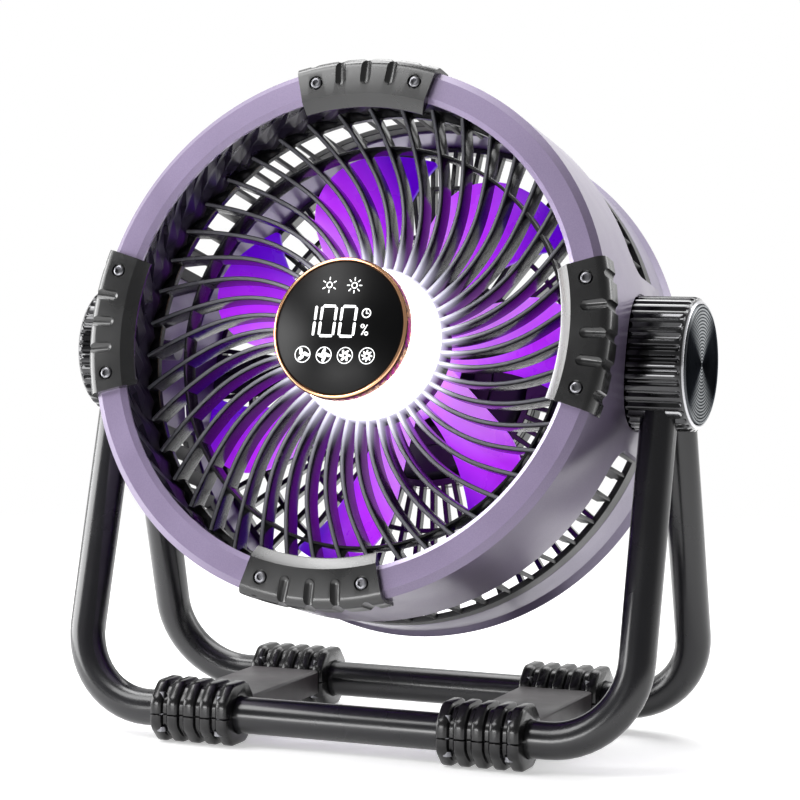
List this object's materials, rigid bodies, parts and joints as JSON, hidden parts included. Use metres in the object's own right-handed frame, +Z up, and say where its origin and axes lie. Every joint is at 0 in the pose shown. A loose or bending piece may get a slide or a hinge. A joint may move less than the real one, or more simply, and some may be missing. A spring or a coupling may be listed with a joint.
{
  "type": "portable camping fan",
  "caption": "Tilting drum fan with a lamp and display in its middle, on a stand of two bent tubes with ribbed feet.",
  "frame": {"origin": "on the floor, midway between the feet and straight below the tilt axis", "axes": "+Z up; -Y is the front, where the air leaves; +X to the right seen from the front and along the tilt axis"},
  "size_m": [0.3108, 0.1902, 0.3237],
  "materials": {
    "shell_paint": "satin",
    "gloss_black": "gloss",
    "vent_black": "matte",
    "guard_rubber": "satin",
    "rotor_plastic": "gloss",
    "tube_paint": "gloss",
    "foot_rubber": "matte",
    "beam_plastic": "satin",
    "hub_metal": "satin",
    "cap_metal": "spun",
    "lamp_diffuser": "frosted",
    "bezel_metal": "polished",
    "display_glass": "gloss",
    "board_laminate": "satin",
    "steel": "machined",
    "black_screw_steel": "black oxide",
    "motor_iron": "laminated",
    "pod_plastic": "satin",
    "key_plastic": "satin",
    "port_rubber": "matte",
    "cell_wrap": "gloss",
    "washer_fibre": "matte"
  },
  "bodies": {
    "stand": {"front_stand_tube": "tube_paint", "rear_stand_tube": "tube_paint", "right_cross_beam": "beam_plastic", "left_cross_beam": "beam_plastic", "foot_screws": "black_screw_steel", "front_right_foot_sole": "foot_rubber", "front_right_foot_cap": "foot_rubber", "front_left_foot_sole": "foot_rubber", "front_left_foot_cap": "foot_rubber", "rear_right_foot_sole": "foot_rubber", "rear_right_foot_cap": "foot_rubber", "rear_left_foot_sole": "foot_rubber", "rear_left_foot_cap": "foot_rubber", "right_hub": "hub_metal", "right_hub_cap": "cap_metal", "right_pivot_pin": "steel", "right_friction_washer": "washer_fibre", "left_hub": "hub_metal", "left_hub_cap": "cap_metal", "left_pivot_pin": "steel", "left_friction_washer": "washer_fibre"},
    "head": {"drum_shell": "shell_paint", "rear_ring": "shell_paint", "upper_vent_band": "vent_black", "lower_vent_band": "vent_black", "front_grille": "gloss_black", "skirt": "gloss_black", "rear_grille": "gloss_black", "grille_screws": "black_screw_steel", "right_guard": "guard_rubber", "top_guard": "guard_rubber", "left_guard": "guard_rubber", "bottom_guard": "guard_rubber", "guard_screws": "black_screw_steel", "light_diffuser": "lamp_diffuser", "led_board": "board_laminate", "display_bezel": "bezel_metal", "display_window": "display_glass", "display_board": "board_laminate", "motor_bracket": "pod_plastic", "motor_can": "steel", "motor_core": "motor_iron", "front_bearing": "steel", "rear_bearing": "steel", "rear_housing": "pod_plastic", "rear_cover": "pod_plastic", "cover_screws": "black_screw_steel", "control_board": "board_laminate", "charging_port": "steel", "battery_cells": "cell_wrap", "battery_holder": "pod_plastic"},
    "rotor": {"fan_rotor": "rotor_plastic", "motor_shaft": "steel", "motor_magnet": "motor_iron", "rotor_nut": "steel"},
    "power_key": {"power_button": "key_plastic"},
    "light_key": {"light_button": "key_plastic"},
    "timer_key": {"timer_button": "key_plastic"},
    "port_flap": {"port_cover": "port_rubber"}
  },
  "joints": [
    {"name": "head_tilt", "type": "hinge", "parent": "stand", "child": "head", "pos_m": [0, 0, 0.1825], "axis": [1, 0, 0], "continuous": true},
    {"name": "rotor_spin", "type": "hinge", "parent": "head", "child": "rotor", "pos_m": [0, 0, 0.1825], "axis": [0, -0.9673, 0.2538], "continuous": true},
    {"name": "power_press", "type": "slide", "parent": "head", "child": "power_key", "axis": [0, -0.9673, 0.2538], "range_m": [0, 0.001], "stiffness_N_per_m": 600, "springref_m": -0.001},
    {"name": "light_press", "type": "slide", "parent": "head", "child": "light_key", "axis": [0, -0.9673, 0.2538], "range_m": [0, 0.001], "stiffness_N_per_m": 600, "springref_m": -0.001},
    {"name": "timer_press", "type": "slide", "parent": "head", "child": "timer_key", "axis": [0, -0.9673, 0.2538], "range_m": [0, 0.001], "stiffness_N_per_m": 600, "springref_m": -0.001},
    {"name": "port_cover_hinge", "type": "hinge", "parent": "head", "child": "port_flap", "pos_m": [0, 0.07696, 0.1344], "axis": [1, 0, 0], "range_deg": [0, 120]}
  ]
}
